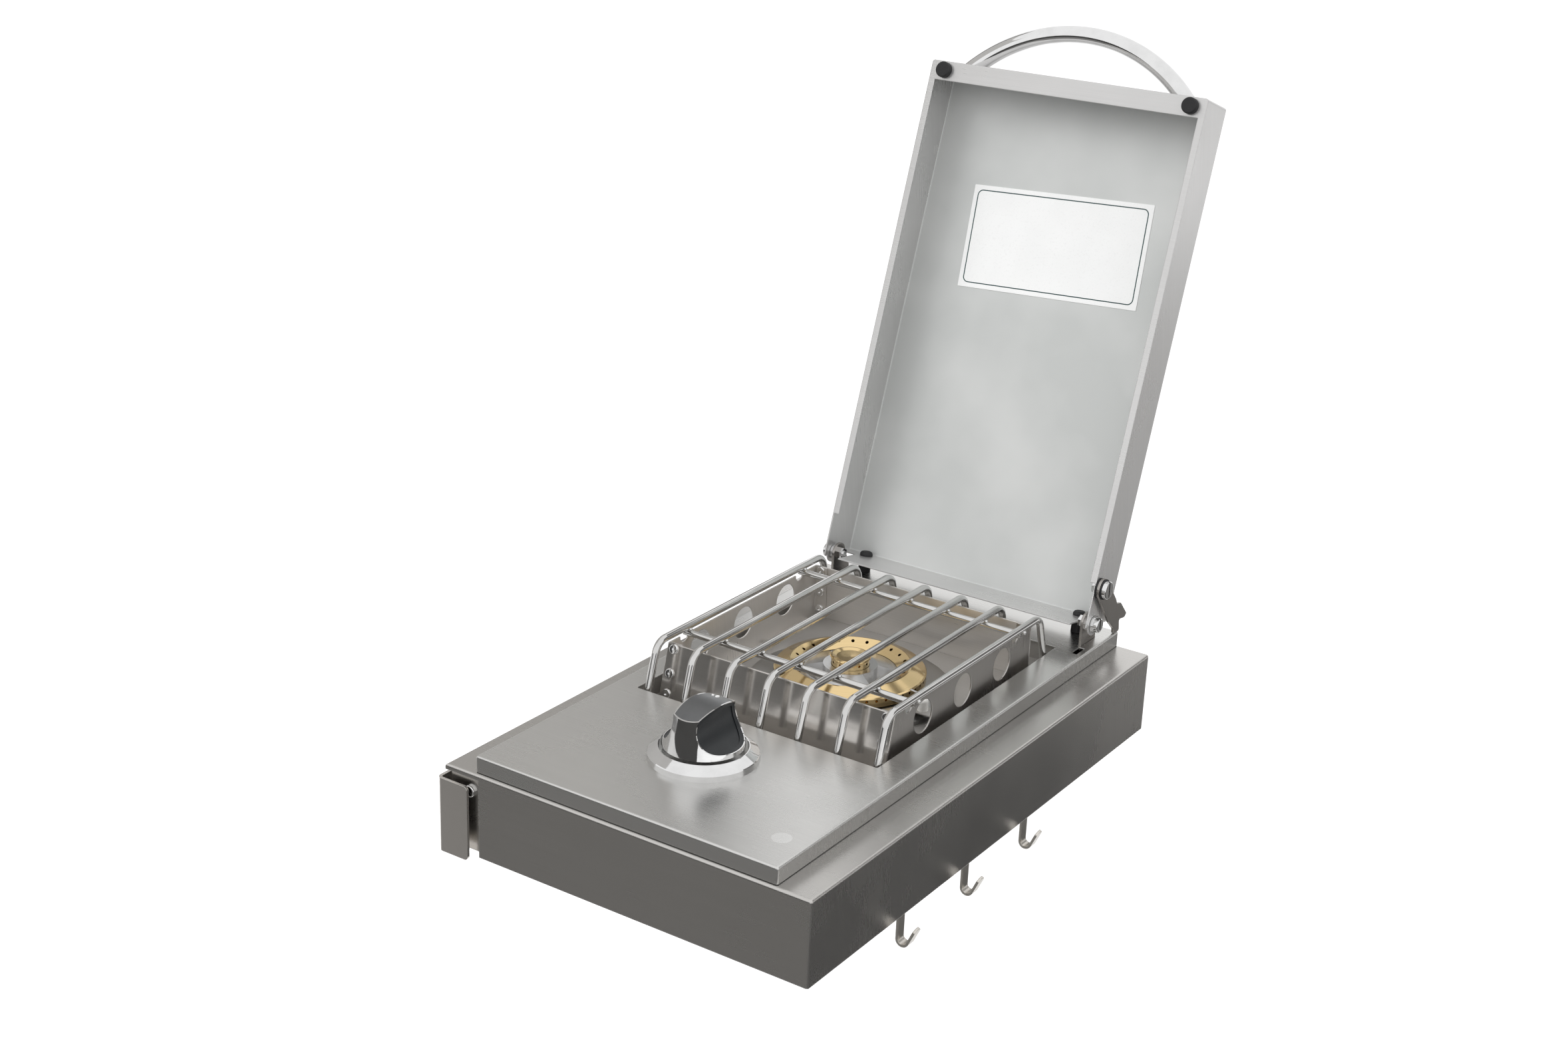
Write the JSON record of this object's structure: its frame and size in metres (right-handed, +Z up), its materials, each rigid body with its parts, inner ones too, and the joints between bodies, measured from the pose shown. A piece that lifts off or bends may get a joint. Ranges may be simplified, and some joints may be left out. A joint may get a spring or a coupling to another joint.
{
  "type": "side burner",
  "caption": "Side burner for a grill cabinet: folded steel shelf with a raised deck, brass ring burner under a wire grate, push-turn knob, hinged lid with arched handle, and tool hooks.",
  "frame": {"origin": "centre of the four mounting holes, on the plane where the brackets meet the cabinet wall", "axes": "+X away from the cabinet, +Y to the rear, +Z up"},
  "size_m": [0.3059, 0.5599, 0.5118],
  "materials": {
    "brushed steel": "brushed",
    "polished steel": "polished",
    "brass": "machined",
    "cast aluminium": "cast and turned",
    "rubber": "matt",
    "dark plastic": "soft matt",
    "satin plate": "satin",
    "ceramic": "glazed"
  },
  "bodies": {
    "frame": {"shelf": "brushed steel", "bracket_front": "brushed steel", "bracket_rear": "brushed steel", "bracket_spacers": "polished steel", "bracket_screws": "polished steel", "corner_screws": "polished steel", "hooks": "brushed steel", "deck": "brushed steel", "deck_screws": "polished steel", "pan": "brushed steel", "guard_front": "brushed steel", "guard_rear": "brushed steel", "guard_left": "brushed steel", "guard_right": "brushed steel", "guard_rivets": "polished steel", "guard_screws": "polished steel", "grate_bars": "polished steel", "grate_rods": "polished steel", "burner_base": "cast aluminium", "burner_bowl": "cast aluminium", "burner_ring": "brass", "burner_cap": "brass", "mixing_tube": "brushed steel", "air_shutter": "brushed steel", "orifice": "brass", "valve_body": "brass", "valve_bracket": "brushed steel", "clamp_nut": "brass", "gas_inlet": "brass", "igniter_insulator": "ceramic", "igniter_electrode": "polished steel", "igniter_bracket": "brushed steel", "bezel": "polished steel", "bezel_screws": "polished steel", "ear_left": "brushed steel", "ear_right": "brushed steel", "hinge_bolts": "polished steel", "hinge_washers": "polished steel", "hinge_spacers": "polished steel", "hinge_nuts": "polished steel"},
    "lid": {"lid_shell": "brushed steel", "handle": "polished steel", "handle_plugs": "dark plastic", "handle_screws": "polished steel", "bumpers_front": "rubber", "bumpers_rear": "rubber", "stay": "brushed steel", "stay_bolt": "polished steel", "stay_washers": "rubber", "stay_nut": "polished steel"},
    "knob_push": {"stem_collar": "dark plastic"},
    "knob": {"valve_stem": "polished steel", "stem_clip": "polished steel", "knob_body": "polished steel", "knob_grips": "dark plastic", "knob_plate": "satin plate"}
  },
  "joints": [
    {"name": "lid_hinge", "type": "hinge", "parent": "frame", "child": "lid", "pos_m": [0.15, 0.18855, 0.0674], "axis": [1, 0, 0], "range_deg": [0, 108.58]},
    {"name": "knob_push_in", "type": "slide", "parent": "frame", "child": "knob_push", "axis": [0, 0, -1], "range_m": [0, 0.003], "stiffness_N_per_m": 1500, "springref_m": -0.004},
    {"name": "knob_turn", "type": "hinge", "parent": "knob_push", "child": "knob", "pos_m": [0.1475, -0.1325, 0.06], "axis": [0, 0, 1], "range_deg": [0, 225]}
  ]
}
